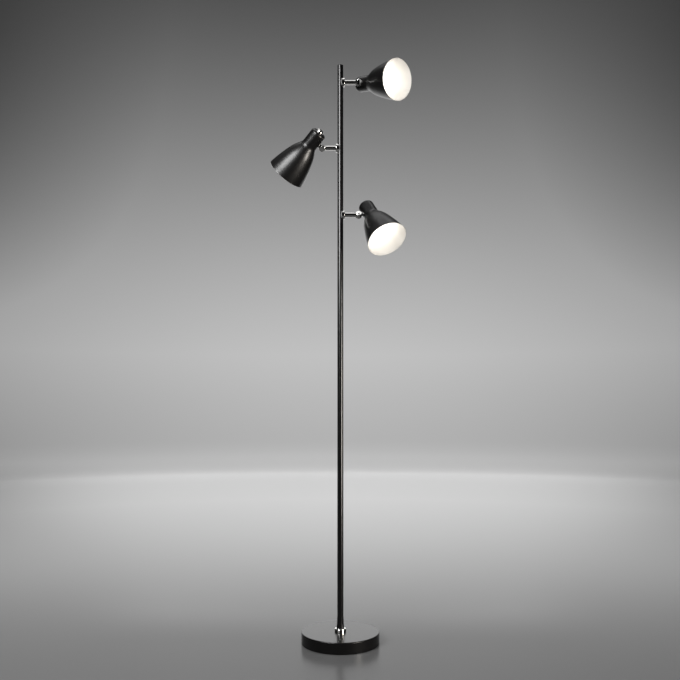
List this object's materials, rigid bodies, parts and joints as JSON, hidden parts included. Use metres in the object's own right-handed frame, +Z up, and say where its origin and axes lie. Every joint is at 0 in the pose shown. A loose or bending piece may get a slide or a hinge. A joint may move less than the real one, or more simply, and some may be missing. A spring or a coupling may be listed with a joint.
{
  "type": "tree floor lamp",
  "caption": "Tree floor lamp: slim black pole on a round weighted base, with bell-shaped metal shades on short chrome arms that swivel and tilt.",
  "frame": {"origin": "centre of the foot pad's underside, on the pole's axis", "axes": "+Z up along the pole; the pictured front faces -Y; +X to the lamp's right as pictured, the side of the upper and lower arms"},
  "size_m": [0.3835, 0.2049, 1.538],
  "materials": {
    "black_paint": "satin",
    "chrome": "polished",
    "cast_iron": "rough",
    "zinc_steel": "zinc plated",
    "black_rubber": "matte",
    "foot_pad": "matte foam",
    "white_plastic": "matte",
    "brass": "plain",
    "bulb_metal": "plain",
    "opal_glass": "opal, lit"
  },
  "bodies": {
    "stand": {"foot_pad": "foot_pad", "base_cover": "black_paint", "base_weight": "cast_iron", "cord_grommet": "black_rubber", "base_washer": "zinc_steel", "base_nut": "zinc_steel", "threaded_rod": "zinc_steel", "foot_bush": "zinc_steel", "foot_collar": "chrome", "pole_ferrule": "black_paint", "pole_lower": "black_paint", "pole_middle": "black_paint", "pole_upper": "black_paint", "pole_joiners": "zinc_steel", "pole_cap": "black_paint", "arm_rosettes": "chrome", "arm_nipples": "zinc_steel", "saddle_nuts": "zinc_steel", "arm_tubes": "chrome"},
    "upper_knuckle": {"inner_knuckle_upper": "chrome", "snap_ring_upper": "zinc_steel", "hinge_screw_upper": "chrome", "hinge_nut_upper": "chrome"},
    "upper_head": {"outer_knuckle_upper": "chrome", "stem_nut_upper": "zinc_steel", "shade_upper": "black_paint", "end_screw_upper": "chrome", "lampholder_upper": "white_plastic", "socket_sleeve_upper": "brass", "socket_contact_upper": "brass", "bulb_cap_upper": "bulb_metal", "bulb_globe_upper": "opal_glass"},
    "middle_knuckle": {"inner_knuckle_middle": "chrome", "snap_ring_middle": "zinc_steel", "hinge_screw_middle": "chrome", "hinge_nut_middle": "chrome"},
    "middle_head": {"outer_knuckle_middle": "chrome", "stem_nut_middle": "zinc_steel", "shade_middle": "black_paint", "end_screw_middle": "chrome", "lampholder_middle": "white_plastic", "socket_sleeve_middle": "brass", "socket_contact_middle": "brass", "bulb_cap_middle": "bulb_metal", "bulb_globe_middle": "opal_glass"},
    "lower_knuckle": {"inner_knuckle_lower": "chrome", "snap_ring_lower": "zinc_steel", "hinge_screw_lower": "chrome", "hinge_nut_lower": "chrome"},
    "lower_head": {"outer_knuckle_lower": "chrome", "stem_nut_lower": "zinc_steel", "shade_lower": "black_paint", "end_screw_lower": "chrome", "lampholder_lower": "white_plastic", "socket_sleeve_lower": "brass", "socket_contact_lower": "brass", "bulb_cap_lower": "bulb_metal", "bulb_globe_lower": "opal_glass"}
  },
  "joints": [
    {"name": "upper_swivel", "type": "hinge", "parent": "stand", "child": "upper_knuckle", "pos_m": [0.0495, 0, 1.4895], "axis": [1, 0, 0], "range_deg": [-92.2, 237.8]},
    {"name": "upper_tilt", "type": "hinge", "parent": "upper_knuckle", "child": "upper_head", "pos_m": [0.0495, 0, 1.4895], "axis": [0, -0.2957, 0.9553], "range_deg": [-41.6, 48.4]},
    {"name": "middle_swivel", "type": "hinge", "parent": "stand", "child": "middle_knuckle", "pos_m": [-0.0495, 0, 1.3045], "axis": [1, 0, 0], "range_deg": [-200.2, 129.8]},
    {"name": "middle_tilt", "type": "hinge", "parent": "middle_knuckle", "child": "middle_head", "pos_m": [-0.0495, 0, 1.3045], "axis": [0, 0.8171, 0.5764], "range_deg": [-39.2, 50.8]},
    {"name": "lower_swivel", "type": "hinge", "parent": "stand", "child": "lower_knuckle", "pos_m": [0.0495, 0, 1.1195], "axis": [1, 0, 0], "range_deg": [-129.5, 200.5]},
    {"name": "lower_tilt", "type": "hinge", "parent": "lower_knuckle", "child": "lower_head", "pos_m": [0.0495, 0, 1.1195], "axis": [0, -0.8141, 0.5807], "range_deg": [-21.4, 68.6]}
  ]
}
